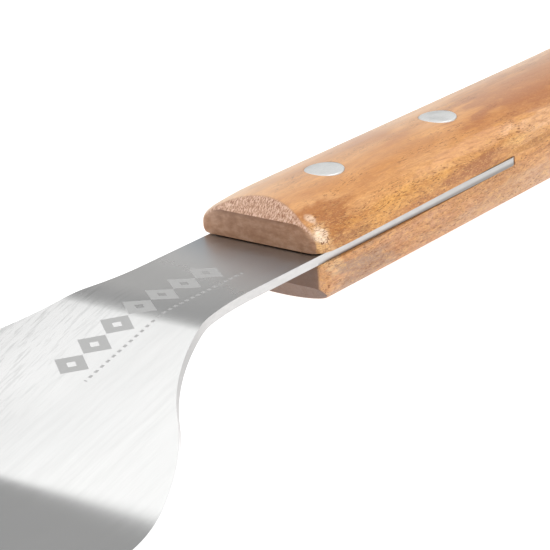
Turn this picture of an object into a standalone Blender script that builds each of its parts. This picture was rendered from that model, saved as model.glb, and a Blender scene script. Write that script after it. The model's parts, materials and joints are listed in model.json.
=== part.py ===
"""Grill spatula: one stamped steel sheet (blade, neck and tang), a one-piece slotted wooden handle,
two flush two-part rivets through handle and tang, and a steel hanging loop on an eyelet at the butt.

Metres, +Z up. +X runs from the blade towards the butt, Y is across. The blade's flat underside and the
bottom of the palm swell lie on Z = 0, and the origin is the bottom centre of the whole tool's box.
"""

from math import asin, cos, pi, radians, sin, sqrt

import bmesh
import bpy
from mathutils import Matrix, Vector

MM = 0.001
GAP = 0.3 * MM  # clearance kept between pieces that touch
THROUGH = 60 * MM  # a cutter this long passes right through the handle
SHARP_ANGLE = radians(35)  # edges turned more than this stay crisp

# Stamped sheet
SHEET = 1.7 * MM
NECK_WIDTH = 26.0 * MM
NECK_FREE = 31.5 * MM  # straight neck from the wood's front to the first bend
TANG_LENGTH = 63.7 * MM
TANG_END_RADIUS = 1.0 * MM
BEND_ANGLE = radians(14.3)  # both bends, so the blade is parallel to the handle
NECK_BEND_RADIUS = 23.5 * MM
SLOPE_LENGTH = 43.5 * MM
HEEL_BEND_RADIUS = 18.0 * MM
BLADE_LENGTH = 118.0 * MM  # flat part
BLADE_WIDTH = 94.0 * MM
BLADE_CORNER_RADIUS = 16.0 * MM
FLARE_START = 19.2 * MM  # from the wood's front, along the sheet
FLARE_ANGLE = radians(44.0)
FLARE_RADIUS = 56.5 * MM
FRONT_EDGE_THICKNESS = 0.6 * MM
FRONT_GRIND_LENGTH = 9.0 * MM
SHEET_COLUMNS = (0.0, 0.35, 0.7, 1.0)  # shares of the half width where the sheet's faces meet

# Handle
HANDLE_LENGTH = 212.0 * MM
HANDLE_TOP = 9.05 * MM  # crown above the tang's top face, at the front
HANDLE_BOTTOM = 11.65 * MM  # depth below the tang's top face, at the front
TOP_CROWN = 22.3  # drop of the crown is this times y squared, in 1/m
BOTTOM_CROWN = 12.5
SHOULDER_POWER = 9.0  # how square the section's shoulders are
FRONT_HALF_WIDTH = 14.65 * MM
WAIST_HALF_WIDTH = 12.9 * MM
PALM_HALF_WIDTH = 15.2 * MM
BUTT_HALF_WIDTH = 14.3 * MM
HANDLE_Y = 0.9 * MM  # the wood's middle sits this far to one side of the sheet's
WAIST_X = 105.0 * MM
WAIST_TOP = 8.7 * MM
PALM_X = 172.0 * MM
PALM_TOP = 9.7 * MM
BELLY_X = 85.0 * MM  # the underside starts to swell down towards the palm here
SECTION_POINTS = 44
FRONT_CORNER_RADIUS = 2.5 * MM
FRONT_CHAMFER_TOP = 5.4 * MM  # height above the tang's top where the front's 45 degree chamfer starts
FRONT_CHAMFER_BOTTOM = 6.4 * MM
BUTT_ROUNDING = 9.0 * MM
BUTT_END_SHARE = 0.62  # size of the flat butt end as a share of the section
SLOT_OVER = 0.2 * MM  # clearance above the tang
SLOT_UNDER = 0.12 * MM
SLOT_LENGTH = TANG_LENGTH + GAP

# Rivets
RIVET_X = (19.5 * MM, 56.0 * MM)
RIVET_NAMES = ("front", "rear")
RIVET_HEAD_RADIUS = 3.86 * MM
RIVET_HEAD_HEIGHT = 1.5 * MM
RIVET_SLEEVE_RADIUS = 2.6 * MM
RIVET_BORE_RADIUS = 1.9 * MM
RIVET_STUD_RADIUS = 1.6 * MM
RIVET_TOP = 8.85 * MM  # above the tang's top face
RIVET_BOTTOM = 11.45 * MM
RIVET_EDGE = 0.25 * MM  # break of the heads' edges
STUD_TAIL_CLEARANCE = 1.2 * MM  # between the stud's end and the floor of the sleeve
TURN_STEPS = 28

# Hanging loop and its eyelet
PIVOT_X = 200.5 * MM
WIRE_RADIUS = 1.5 * MM
LOOP_REACH = 24.0 * MM  # pivot axis to the middle of the closing bar
LOOP_HALF_WIDTH = 17.2 * MM
LOOP_PIN_CORNER = 2.6 * MM
LOOP_END_CORNER = 7.0 * MM
LOOP_LIFT = 0.1 * MM  # of the closing bar off the table
EYELET_BORE = 1.78 * MM
EYELET_RADIUS = 2.5 * MM
EYELET_FLANGE_RADIUS = 3.9 * MM
EYELET_FLANGE = 0.7 * MM
EYELET_HALF_LENGTH = 14.7 * MM
EYELET_LIP = 0.2 * MM

# Heights, from the table up
DROP = (NECK_BEND_RADIUS + HEEL_BEND_RADIUS) * (1 - cos(BEND_ANGLE)) + SLOPE_LENGTH * sin(BEND_ANGLE)
TANG_TOP_Z = SHEET + DROP
PIVOT_Z = (TANG_TOP_Z + PALM_TOP) / 2
LOOP_DROOP = asin((PIVOT_Z - WIRE_RADIUS - LOOP_LIFT) / LOOP_REACH)  # its bar then lies on the table

# Lengths, from the wood's front, and where that front is in the tool's own frame
BEND_RUN = (NECK_BEND_RADIUS + HEEL_BEND_RADIUS) * sin(BEND_ANGLE)
HEEL_X = -(NECK_FREE + BEND_RUN + SLOPE_LENGTH * cos(BEND_ANGLE))
BLADE_FRONT_X = HEEL_X - BLADE_LENGTH
LOOP_END_X = PIVOT_X + LOOP_REACH * cos(LOOP_DROOP) + WIRE_RADIUS
WOOD_FRONT_X = -(BLADE_FRONT_X + LOOP_END_X) / 2


def clear_scene():
    for obj in list(bpy.data.objects):
        bpy.data.objects.remove(obj, do_unlink=True)


def collection(name):
    made = bpy.data.collections.new(name)
    bpy.context.scene.collection.children.link(made)
    return made


def material(name, colour, roughness, metallic):
    made = bpy.data.materials.new(name)
    made.use_nodes = True
    shader = made.node_tree.nodes["Principled BSDF"]
    shader.inputs["Base Color"].default_value = (*colour, 1.0)
    shader.inputs["Roughness"].default_value = roughness
    shader.inputs["Metallic"].default_value = metallic
    made.diffuse_color = (*colour, 1.0)
    return made


def new_object(name, mesh, group, finish=None):
    obj = bpy.data.objects.new(name, mesh)
    group.objects.link(obj)
    if finish:
        obj.data.materials.append(finish)
    return obj


def as_cutter(obj):
    obj.hide_render = True
    obj.display_type = "WIRE"
    return obj


def cut(obj, cutter):
    step = obj.modifiers.new(f"cut_{cutter.name}", "BOOLEAN")
    step.operation = "DIFFERENCE"
    step.solver = "EXACT"
    step.object = cutter


def shade_round(obj):
    obj.data.shade_smooth()
    obj.data.set_sharp_from_angle(angle=SHARP_ANGLE)


def at(x, y, z):
    """A point given from the wood's front and the tang's top face, in the tool's frame."""
    return Vector((WOOD_FRONT_X + x, y, TANG_TOP_Z + z))


def spread(low, high, steps):
    """Values from low to high, both included."""
    return [low + (high - low) * i / steps for i in range(steps + 1)]


# ---------------------------------------------------------------- stamped sheet


def sheet_profile(s):
    """Where the sheet's top centreline is (x, z) at the distance s ahead of the wood's front."""
    if s <= NECK_FREE:
        return -s, 0.0
    x, z, angle = -NECK_FREE, 0.0, 0.0
    s -= NECK_FREE
    turn = min(s / NECK_BEND_RADIUS, BEND_ANGLE)
    x -= NECK_BEND_RADIUS * sin(turn)
    z -= NECK_BEND_RADIUS * (1 - cos(turn))
    angle = turn
    s -= NECK_BEND_RADIUS * turn
    run = min(max(s, 0.0), SLOPE_LENGTH)
    x -= run * cos(angle)
    z -= run * sin(angle)
    s -= run
    if s <= 0:
        return x, z
    back = min(s / HEEL_BEND_RADIUS, BEND_ANGLE)
    x -= HEEL_BEND_RADIUS * (sin(BEND_ANGLE) - sin(BEND_ANGLE - back))
    z -= HEEL_BEND_RADIUS * (cos(BEND_ANGLE - back) - cos(BEND_ANGLE))
    s -= HEEL_BEND_RADIUS * back
    return x - max(s, 0.0), z


def shoulder_radius():
    """The convex radius that brings the flare round to the blade's straight side."""
    rise = (BLADE_WIDTH - NECK_WIDTH) / 2 - FLARE_RADIUS * (1 - cos(FLARE_ANGLE))
    return rise / (1 - cos(FLARE_ANGLE))


def half_width(s):
    """The outline's half width at the distance s ahead of the wood's front."""
    neck, blade, round_ = NECK_WIDTH / 2, BLADE_WIDTH / 2, shoulder_radius()
    concave_end = FLARE_START + FLARE_RADIUS * sin(FLARE_ANGLE)
    convex_end = concave_end + round_ * sin(FLARE_ANGLE)
    tip = SHEET_LENGTH - BLADE_CORNER_RADIUS
    if s <= FLARE_START:
        return neck - corner_loss(-s - (TANG_LENGTH - TANG_END_RADIUS), TANG_END_RADIUS)
    if s <= concave_end:
        return neck + FLARE_RADIUS - sqrt(FLARE_RADIUS**2 - (s - FLARE_START) ** 2)
    if s <= convex_end:
        return blade - round_ + sqrt(round_**2 - (convex_end - s) ** 2)
    return blade - corner_loss(s - tip, BLADE_CORNER_RADIUS)


def corner_loss(past, radius):
    """How much a rounded corner takes off the half width, this far past its start."""
    past = min(max(past, 0.0), radius)
    return radius - sqrt(radius**2 - past**2)


SHEET_LENGTH = NECK_FREE + (NECK_BEND_RADIUS + HEEL_BEND_RADIUS) * BEND_ANGLE + SLOPE_LENGTH + BLADE_LENGTH


def sheet_stations():
    """Distances ahead of the wood's front, closest together round the corners and bends."""
    bend_1 = NECK_FREE
    bend_1_end = bend_1 + NECK_BEND_RADIUS * BEND_ANGLE
    bend_2 = bend_1_end + SLOPE_LENGTH
    bend_2_end = bend_2 + HEEL_BEND_RADIUS * BEND_ANGLE
    flare_end = FLARE_START + (FLARE_RADIUS + shoulder_radius()) * sin(FLARE_ANGLE)
    tang_corner = [-TANG_LENGTH + TANG_END_RADIUS * (1 - cos(t)) for t in spread(0, pi / 2, 4)]
    tip = SHEET_LENGTH - BLADE_CORNER_RADIUS
    tip_corner = [tip + BLADE_CORNER_RADIUS * sin(t) for t in spread(0, pi / 2, 9)]
    found = tang_corner + [0.0, FLARE_START] + spread(FLARE_START, bend_1, 4)
    found += spread(bend_1, bend_1_end, 6) + spread(bend_1_end, bend_2, 14)
    found += spread(bend_2, bend_2_end, 6) + spread(bend_2_end, flare_end, 8)
    found += spread(flare_end, tip, 3) + tip_corner
    return sorted({round(s, 7) for s in found})


def blade_and_tang(group, cutters, finish):
    """Half of the sheet's top face, mirrored and thickened downwards, with the rivet holes and front edge."""
    bm = bmesh.new()
    rows = []
    for s in sheet_stations():
        x, z = sheet_profile(s)
        rows.append([bm.verts.new(at(x, share * half_width(s), z)) for share in SHEET_COLUMNS])
    for near, far in zip(rows, rows[1:]):
        for i in range(len(SHEET_COLUMNS) - 1):
            bm.faces.new((near[i], near[i + 1], far[i + 1], far[i]))
    bmesh.ops.recalc_face_normals(bm, faces=bm.faces)
    if sum(face.normal.z for face in bm.faces) < 0:
        bmesh.ops.reverse_faces(bm, faces=bm.faces)
    mesh = bpy.data.meshes.new("blade_and_tang")
    bm.to_mesh(mesh)
    bm.free()
    obj = new_object("blade_and_tang", mesh, group, finish)
    mirror = obj.modifiers.new("mirror", "MIRROR")
    mirror.use_axis = (False, True, False)
    mirror.use_clip = True
    mirror.merge_threshold = 0.00001
    solid = obj.modifiers.new("thickness", "SOLIDIFY")
    solid.thickness = SHEET
    solid.offset = -1.0
    solid.use_even_offset = True
    for x in RIVET_X:
        name = f"tang_hole_{x / MM:.0f}"
        cut(obj, round_cutter(name, at(x, 0, 0), RIVET_SLEEVE_RADIUS + GAP, THROUGH, cutters))
    cut(obj, front_grind(cutters))
    shade_round(obj)
    return obj


def front_grind(cutters):
    """A wedge that takes the blade's top down to a thin front edge."""
    fall = (SHEET - FRONT_EDGE_THICKNESS) / FRONT_GRIND_LENGTH
    length, width, height = 3 * FRONT_GRIND_LENGTH, 1.2 * BLADE_WIDTH, 4 * SHEET
    wedge = block_cutter("front_grind_cutter", (length, width, height), cutters)
    start = Vector((WOOD_FRONT_X + BLADE_FRONT_X + FRONT_GRIND_LENGTH, 0, SHEET))
    tilt = Matrix.Rotation(-fall, 4, "Y")
    wedge.matrix_world = Matrix.Translation(start) @ tilt @ Matrix.Translation((-length / 2, 0, height / 2))
    return wedge


def block_cutter(name, size, cutters):
    bm = bmesh.new()
    bmesh.ops.create_cube(bm, size=1.0)
    bm.transform(Matrix.Diagonal((*size, 1.0)))
    mesh = bpy.data.meshes.new(name)
    bm.to_mesh(mesh)
    bm.free()
    return as_cutter(new_object(name, mesh, cutters))


def round_cutter(name, centre, radius, length, cutters, along="Z"):
    bm = bmesh.new()
    bmesh.ops.create_cone(bm, cap_ends=True, segments=32, radius1=radius, radius2=radius, depth=length)
    if along == "Y":
        bm.transform(Matrix.Rotation(pi / 2, 4, "X"))
    mesh = bpy.data.meshes.new(name)
    bm.to_mesh(mesh)
    bm.free()
    obj = new_object(name, mesh, cutters)
    obj.location = centre
    return as_cutter(obj)


# ---------------------------------------------------------------- wooden handle


def eased(x, stations):
    """A value eased smoothly between (x, value) stations."""
    if x <= stations[0][0]:
        return stations[0][1]
    for (x0, v0), (x1, v1) in zip(stations, stations[1:]):
        if x <= x1:
            t = (x - x0) / (x1 - x0)
            return v0 + (v1 - v0) * t * t * (3 - 2 * t)
    return stations[-1][1]


def handle_half_width(x):
    return eased(
        x,
        (
            (0.0, FRONT_HALF_WIDTH),
            (WAIST_X, WAIST_HALF_WIDTH),
            (PALM_X, PALM_HALF_WIDTH),
            (HANDLE_LENGTH, BUTT_HALF_WIDTH),
        ),
    )


def handle_top(x):
    return eased(x, ((0.0, HANDLE_TOP), (WAIST_X, WAIST_TOP), (PALM_X, PALM_TOP)))


def handle_bottom(x):
    return eased(x, ((BELLY_X, HANDLE_BOTTOM), (PALM_X, TANG_TOP_Z)))


def handle_section(x):
    """The crowned, round-shouldered section at x, as (y, z) from the tang's top face."""
    wide, top, bottom = handle_half_width(x), handle_top(x), handle_bottom(x)
    middle = -SHEET / 2
    ring = []
    for i in range(SECTION_POINTS):
        turn = 2 * pi * i / SECTION_POINTS
        c, s = cos(turn), sin(turn)
        size = (abs(c) ** SHOULDER_POWER + abs(s) ** SHOULDER_POWER) ** (1 / SHOULDER_POWER)
        y, share = wide * c / size, abs(s) / size
        if s >= 0:
            z = middle + share * (top - TOP_CROWN * y * y - middle)
        else:
            z = middle - share * (bottom - BOTTOM_CROWN * y * y + middle)
        ring.append((y, z))
    return ring


def handle_rings():
    """(x, section) along the handle, with the front's corner rounding and the butt's closing."""
    front = [FRONT_CORNER_RADIUS * (1 - cos(t)) for t in spread(0, pi / 2, 5)]
    back_start = HANDLE_LENGTH - BUTT_ROUNDING
    back = [back_start + BUTT_ROUNDING * sin(t) for t in spread(0, pi / 2, 8)]
    rings = []
    for x in front + spread(front[-1], back_start, 22)[1:-1] + back:
        section = handle_section(x)
        trimmed = corner_loss(FRONT_CORNER_RADIUS - x, FRONT_CORNER_RADIUS)
        narrow = 1 - trimmed / FRONT_HALF_WIDTH
        closing = corner_loss(x - back_start, BUTT_ROUNDING) / BUTT_ROUNDING * (1 - BUTT_END_SHARE)
        middle = PIVOT_Z - TANG_TOP_Z
        size = 1 - closing
        ring = [(HANDLE_Y + y * narrow * size, middle + (z - middle) * size) for y, z in section]
        rings.append((x, ring))
    return rings


def wood_handle(group, cutters, finish):
    """A loft of crowned sections, chamfered at the front, slotted for the tang and bored for its fittings."""
    bm = bmesh.new()
    rings = [[bm.verts.new(at(x, y, z)) for y, z in ring] for x, ring in handle_rings()]
    count = len(rings[0])
    for near, far in zip(rings, rings[1:]):
        for i in range(count):
            j = (i + 1) % count
            bm.faces.new((near[i], near[j], far[j], far[i]))
    bm.faces.new(rings[0])
    bm.faces.new(rings[-1])
    bmesh.ops.recalc_face_normals(bm, faces=bm.faces)
    mesh = bpy.data.meshes.new("wood_handle")
    bm.to_mesh(mesh)
    bm.free()
    obj = new_object("wood_handle", mesh, group, finish)
    cut(obj, front_chamfer("front_chamfer_top", FRONT_CHAMFER_TOP, 1, cutters))
    cut(obj, front_chamfer("front_chamfer_bottom", -FRONT_CHAMFER_BOTTOM, -1, cutters))
    cut(obj, slot_cutter(cutters))
    for name, x in zip(RIVET_NAMES, RIVET_X):
        for cutter in rivet_hole(name, x, cutters):
            cut(obj, cutter)
    for cutter in eyelet_hole(cutters):
        cut(obj, cutter)
    shade_round(obj)
    return obj


def front_chamfer(name, start, side, cutters):
    """A block whose 45 degree face meets the handle's front at the height start and rises rearwards."""
    block = block_cutter(name, (THROUGH, THROUGH, THROUGH), cutters)
    out = Vector((-1, 0, side)).normalized() * THROUGH / 2
    block.location = at(0, 0, start) + out
    block.rotation_euler = (0, radians(45), 0)
    return block


def slot_cutter(cutters):
    """The saw slot that takes the tang: open at the front and both sides, square at its end."""
    height = SLOT_OVER + SHEET + SLOT_UNDER
    block = block_cutter("tang_slot_cutter", (2 * SLOT_LENGTH, THROUGH, height), cutters)
    block.location = at(0, 0, SLOT_OVER - height / 2)
    return block


def rivet_hole(name, x, cutters):
    """The through hole and the two counterbores of one rivet."""
    head, reach = RIVET_HEAD_RADIUS + GAP, RIVET_BOTTOM / 2
    top_floor = RIVET_TOP - RIVET_HEAD_HEIGHT - GAP
    bottom_floor = -RIVET_BOTTOM + RIVET_HEAD_HEIGHT + GAP
    return (
        round_cutter(f"{name}_rivet_hole", at(x, 0, 0), RIVET_SLEEVE_RADIUS + GAP, THROUGH, cutters),
        round_cutter(f"{name}_rivet_seat_top", at(x, 0, top_floor + reach / 2), head, reach, cutters),
        round_cutter(f"{name}_rivet_seat_bottom", at(x, 0, bottom_floor - reach / 2), head, reach, cutters),
    )


def eyelet_hole(cutters):
    """The cross hole through the butt and the flat seats of the eyelet's flanges."""
    centre = at(PIVOT_X, HANDLE_Y, PIVOT_Z - TANG_TOP_Z)
    reach = EYELET_HALF_LENGTH / 2
    seat = EYELET_HALF_LENGTH - EYELET_FLANGE - GAP + reach / 2
    found = [round_cutter("eyelet_hole", centre, EYELET_RADIUS + GAP, THROUGH, cutters, "Y")]
    for name, side in (("left", 1), ("right", -1)):
        place = centre + Vector((0, side * seat, 0))
        radius = EYELET_FLANGE_RADIUS + GAP
        found.append(round_cutter(f"eyelet_seat_{name}", place, radius, reach, cutters, "Y"))
    return found


# ---------------------------------------------------------------- turned pieces


def turned(name, profile, group, finish, place):
    """A solid of revolution about Z from a (radius, height) profile that runs down its outer side."""
    bm = bmesh.new()
    points = [bm.verts.new((radius, 0, height)) for radius, height in profile]
    for a, b in zip(points, points[1:]):
        bm.edges.new((a, b))
    if profile[0][0] > 0:
        bm.edges.new((points[-1], points[0]))
    mesh = bpy.data.meshes.new(name)
    bm.to_mesh(mesh)
    bm.free()
    obj = new_object(name, mesh, group, finish)
    screw = obj.modifiers.new("turn", "SCREW")
    screw.axis = "Z"
    screw.angle = 2 * pi
    screw.steps = TURN_STEPS
    screw.render_steps = TURN_STEPS
    screw.use_merge_vertices = True
    screw.merge_threshold = 0.00001
    screw.use_smooth_shade = True
    obj.matrix_world = place
    shade_round(obj)
    return obj


def rivet_stud(name, x, group, finish):
    """The upper half: a flush head on a solid shank that presses into the sleeve."""
    top, edge = RIVET_TOP, RIVET_EDGE
    tail = -RIVET_BOTTOM + RIVET_HEAD_HEIGHT + STUD_TAIL_CLEARANCE
    profile = (
        (0.0, top),
        (RIVET_HEAD_RADIUS - edge, top),
        (RIVET_HEAD_RADIUS, top - edge),
        (RIVET_HEAD_RADIUS, top - RIVET_HEAD_HEIGHT),
        (RIVET_STUD_RADIUS, top - RIVET_HEAD_HEIGHT),
        (RIVET_STUD_RADIUS, tail + edge),
        (RIVET_STUD_RADIUS - edge, tail),
        (0.0, tail),
    )
    return turned(f"{name}_rivet_stud", profile, group, finish, Matrix.Translation(at(x, 0, 0)))


def rivet_sleeve(name, x, group, finish):
    """The lower half: a flush head with a tube that runs up through handle and tang."""
    bottom, edge = -RIVET_BOTTOM, RIVET_EDGE
    mouth = RIVET_TOP - RIVET_HEAD_HEIGHT - 2 * GAP
    floor = bottom + RIVET_HEAD_HEIGHT
    profile = (
        (0.0, floor),
        (RIVET_BORE_RADIUS, floor),
        (RIVET_BORE_RADIUS, mouth),
        (RIVET_SLEEVE_RADIUS, mouth),
        (RIVET_SLEEVE_RADIUS, floor),
        (RIVET_HEAD_RADIUS, floor),
        (RIVET_HEAD_RADIUS, bottom + edge),
        (RIVET_HEAD_RADIUS - edge, bottom),
        (0.0, bottom),
    )
    return turned(f"{name}_rivet_sleeve", profile, group, finish, Matrix.Translation(at(x, 0, 0)))


def eyelet(group, finish):
    """The steel tube with a flange at each end that lines the cross hole at the butt."""
    half, lip = EYELET_HALF_LENGTH, EYELET_LIP
    profile = (
        (EYELET_BORE, half),
        (EYELET_FLANGE_RADIUS - lip, half),
        (EYELET_FLANGE_RADIUS, half - lip),
        (EYELET_FLANGE_RADIUS, half - EYELET_FLANGE),
        (EYELET_RADIUS, half - EYELET_FLANGE),
        (EYELET_RADIUS, -half + EYELET_FLANGE),
        (EYELET_FLANGE_RADIUS, -half + EYELET_FLANGE),
        (EYELET_FLANGE_RADIUS, -half + lip),
        (EYELET_FLANGE_RADIUS - lip, -half),
        (EYELET_BORE, -half),
    )
    place = Matrix.Translation(at(PIVOT_X, HANDLE_Y, PIVOT_Z - TANG_TOP_Z)) @ Matrix.Rotation(pi / 2, 4, "X")
    return turned("hang_hole_eyelet", profile, group, finish, place)


# ---------------------------------------------------------------- hanging loop


def corner(centre_x, centre_y, radius, start, steps):
    """Points round a quarter turn that starts at the angle start, in the loop's own plane."""
    turns = [radians(start + 90 * i / steps) for i in range(steps + 1)]
    return [(centre_x + radius * cos(t), centre_y + radius * sin(t)) for t in turns]


def loop_route():
    """The wire's centreline seen flat: the pin on x = 0, two legs, and the closing bar at the reach."""
    wide, reach = LOOP_HALF_WIDTH, LOOP_REACH
    pin, end = LOOP_PIN_CORNER, LOOP_END_CORNER
    route = corner(reach - end, wide - end, end, 0, 6)
    route += corner(pin, wide - pin, pin, 90, 4)
    route += corner(pin, -wide + pin, pin, 180, 4)
    route += corner(reach - end, -wide + end, end, 270, 6)
    return route


def hanging_loop(group, finish):
    """A closed wire through the eyelet, hinged on the cross hole's axis, with its bar down on the table."""
    pivot = bpy.data.objects.new("hanging_loop_axis", None)
    pivot.location = at(PIVOT_X, HANDLE_Y, PIVOT_Z - TANG_TOP_Z)
    pivot.rotation_euler = (0, LOOP_DROOP, 0)
    group.objects.link(pivot)
    curve = bpy.data.curves.new("hanging_loop", "CURVE")
    curve.dimensions = "3D"
    curve.bevel_depth = WIRE_RADIUS
    curve.bevel_resolution = 3
    curve.use_fill_caps = True
    spline = curve.splines.new("POLY")
    route = loop_route()
    spline.points.add(len(route) - 1)
    for point, (x, y) in zip(spline.points, route):
        point.co = (x, y, 0.0, 1.0)
    spline.use_cyclic_u = True
    obj = bpy.data.objects.new("hanging_loop", curve)
    curve.materials.append(finish)
    group.objects.link(obj)
    obj.parent = pivot
    return obj


def build():
    clear_scene()
    tool = collection("grill_spatula")
    cutters = collection("cutters")
    steel = material("brushed_stainless", (0.58, 0.58, 0.57), 0.34, 1.0)
    wood = material("oiled_acacia", (0.47, 0.20, 0.07), 0.42, 0.0)
    rivet = material("rivet_metal", (0.78, 0.79, 0.79), 0.4, 1.0)
    wire = material("polished_wire", (0.66, 0.66, 0.66), 0.22, 1.0)
    blade_and_tang(tool, cutters, steel)
    wood_handle(tool, cutters, wood)
    for name, x in zip(RIVET_NAMES, RIVET_X):
        rivet_stud(name, x, tool, rivet)
        rivet_sleeve(name, x, tool, rivet)
    eyelet(tool, wire)
    hanging_loop(tool, wire)


build()
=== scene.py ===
"""Looks of the grill spatula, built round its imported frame.

Metres, in the frame's own axes: +X from the blade towards the butt, Y across, +Z up. Most shapes are worked
out from two places, the wood's front end and the tang's top face, and `at` turns such a point into the frame.
"""

import json
from math import atan2, cos, pi, radians, sin, sqrt, tan

import bmesh
import bpy
from mathutils import Matrix, Vector


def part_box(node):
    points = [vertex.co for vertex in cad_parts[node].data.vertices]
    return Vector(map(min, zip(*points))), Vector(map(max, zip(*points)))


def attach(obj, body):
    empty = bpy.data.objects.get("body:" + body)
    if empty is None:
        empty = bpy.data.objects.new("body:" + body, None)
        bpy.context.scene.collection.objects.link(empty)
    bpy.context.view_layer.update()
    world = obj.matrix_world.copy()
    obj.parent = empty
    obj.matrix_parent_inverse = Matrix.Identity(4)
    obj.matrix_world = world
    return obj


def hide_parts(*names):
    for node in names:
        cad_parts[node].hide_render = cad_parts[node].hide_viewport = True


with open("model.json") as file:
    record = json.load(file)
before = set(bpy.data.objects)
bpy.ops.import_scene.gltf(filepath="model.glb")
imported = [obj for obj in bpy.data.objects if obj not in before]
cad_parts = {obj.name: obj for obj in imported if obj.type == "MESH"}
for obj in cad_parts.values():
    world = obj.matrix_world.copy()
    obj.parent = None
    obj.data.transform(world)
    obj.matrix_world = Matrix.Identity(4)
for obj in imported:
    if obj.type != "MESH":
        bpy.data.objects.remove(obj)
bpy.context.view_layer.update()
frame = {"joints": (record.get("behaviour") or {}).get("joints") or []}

MM = 0.001
WELD = 0.002 * MM  # points closer than this are merged
SHEET_SHARP = 12  # degrees above which an edge of the sheet is shaded sharp
OTHER_SHARP = 38

# Places read from the frame
WOOD_FRONT_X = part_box("wood_handle")[0].x
TANG_TOP_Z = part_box("blade_and_tang")[1].z
PIVOT = Vector(frame["joints"][0]["pos_m"])
RIVET_X = [
    sum(corner.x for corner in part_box(f"{name}_rivet_stud")) / 2 - WOOD_FRONT_X
    for name in ("front", "rear")
]
CROSS_HOLE = Matrix.Translation(PIVOT) @ Matrix.Rotation(pi / 2, 4, "X")  # turns Z along the hole

# Stamped sheet: the CAD's sizes, and how its bends and edges are softened
SHEET = 1.7 * MM
NECK_WIDTH = 26.0 * MM
NECK_FREE = 31.5 * MM
TANG_LENGTH = 63.7 * MM
TANG_END_RADIUS = 1.0 * MM
BEND_ANGLE = radians(14.3)
NECK_BEND_RADIUS = 23.5 * MM
SLOPE_LENGTH = 43.5 * MM
HEEL_BEND_RADIUS = 18.0 * MM
HEEL_SOFTER_BY = 27.0 * MM  # the heel bend's radius grows by this towards the sheet's sides
HEEL_SOFTENS_OVER = (5.0 * MM, 47.0 * MM)
BLADE_LENGTH = 117.99 * MM
BLADE_WIDTH = 94.0 * MM
BLADE_CORNER_RADIUS = 16.0 * MM
FLARE_START = 19.2 * MM
FLARE_ANGLE = radians(44.0)
FLARE_RADIUS = 56.5 * MM
FRONT_EDGE_THICKNESS = 0.6 * MM
FRONT_GRIND_LENGTH = 9.0 * MM
SHEET_LENGTH = NECK_FREE + (NECK_BEND_RADIUS + HEEL_BEND_RADIUS) * BEND_ANGLE + SLOPE_LENGTH + BLADE_LENGTH
SHEET_EDGE = 0.12 * MM  # rounding of the stamped edges
SHEET_COLUMNS = (0.0, 0.18, 0.36, 0.52, 0.66, 0.78, 0.88, 0.95, 1.0)  # shares of the half width
TANG_ROWS = (-45.0, -30.0, -10.0, 0.0)  # mm, rows of points along the tang

# Handle: the CAD's sizes, and how its edges and slot are softened
HANDLE_LENGTH = 212.0 * MM
HANDLE_TOP = 9.05 * MM
HANDLE_BOTTOM = 11.65 * MM
HANDLE_Y = PIVOT.y  # the wood's middle sits a little to one side of the sheet's
TOP_CROWN = 22.3
BOTTOM_CROWN = 12.5
SHOULDER_POWER = 9.0
FRONT_HALF_WIDTH = 14.65 * MM
NOSE_DROP = 0.8 * MM  # how far the crown comes down at the very front
NOSE_LENGTH = 12.0 * MM
WAIST_HALF_WIDTH = 12.9 * MM
PALM_HALF_WIDTH = 15.2 * MM
BUTT_HALF_WIDTH = 14.3 * MM
WAIST_X = 105.0 * MM
WAIST_TOP = 8.7 * MM
PALM_X = 172.0 * MM
PALM_TOP = 9.68 * MM
PALM_BOTTOM = TANG_TOP_Z - 0.02 * MM
BELLY_X = 85.0 * MM
FRONT_CORNER_RADIUS = 2.5 * MM
FRONT_DETAIL = 9.0 * MM  # length of the finely divided front end
LIP_RADIUS = 1.2 * MM  # rounding of the slot's lips at the front corners
LIP_LENGTH = 3.5 * MM
FRONT_CHAMFER_TOP = 5.4 * MM
FRONT_CHAMFER_BOTTOM = 6.4 * MM
CHAMFER_BLEND_TOP = 0.8 * MM  # how softly the chamfer runs into the crown
CHAMFER_BLEND_BOTTOM = 0.35 * MM
BUTT_ROUNDING = 9.0 * MM
BUTT_START = HANDLE_LENGTH - BUTT_ROUNDING
BUTT_END_SHARE = 0.62
SLOT_OVER = 0.03 * MM
SLOT_UNDER = 0.13 * MM
SLOT_MOUTH = (8.0 * MM, 0.2 * MM)  # length and extra height of the flare at the slot's front
SLOT_LENGTH = TANG_LENGTH + 0.3 * MM
SLOT_EDGE = 0.1 * MM
SECTION_POINTS = 192
CROWDING = 0.12  # how strongly a section's points crowd at its corners
THROUGH = 60 * MM  # length of a cutter that goes right through
SEAT_GAP = 0.1 * MM  # room at the seats of the rivets and the eyelet
SEAT_CUT = 5.0 * MM  # length of the cutters that sink the rivet heads
FLANGE_CUT = 6.0 * MM  # and of those that sink the eyelet's flanges

# Rivets
HEAD_RADIUS = 3.86 * MM
HEAD_HEIGHT = 1.5 * MM
HEAD_SUNK = 0.01 * MM  # below the crown's middle
HEAD_BOTTOM = 11.5 * MM
HEAD_CROWN = 12.0
HEAD_EDGE = 0.18 * MM
HEAD_RINGS = (0.0, 0.8 * MM, 1.6 * MM, 2.4 * MM, 3.1 * MM)  # radii of the points on a head
HEAD_MIDDLE_Y = HANDLE_Y / 2
SEAT_RADIUS = HEAD_RADIUS + 0.03 * MM
SLEEVE_RADIUS = 2.6 * MM
SLEEVE_HOLE = SLEEVE_RADIUS + 0.1 * MM
SLEEVE_BORE = 1.9 * MM
SLEEVE_SHORT = 0.3 * MM  # how far the sleeve's mouth stops below the stud's head
STUD_RADIUS = 1.6 * MM
STUD_TIP = 1.2 * MM  # above the lower head, like the rim
STUD_RIM = 1.5 * MM

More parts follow.
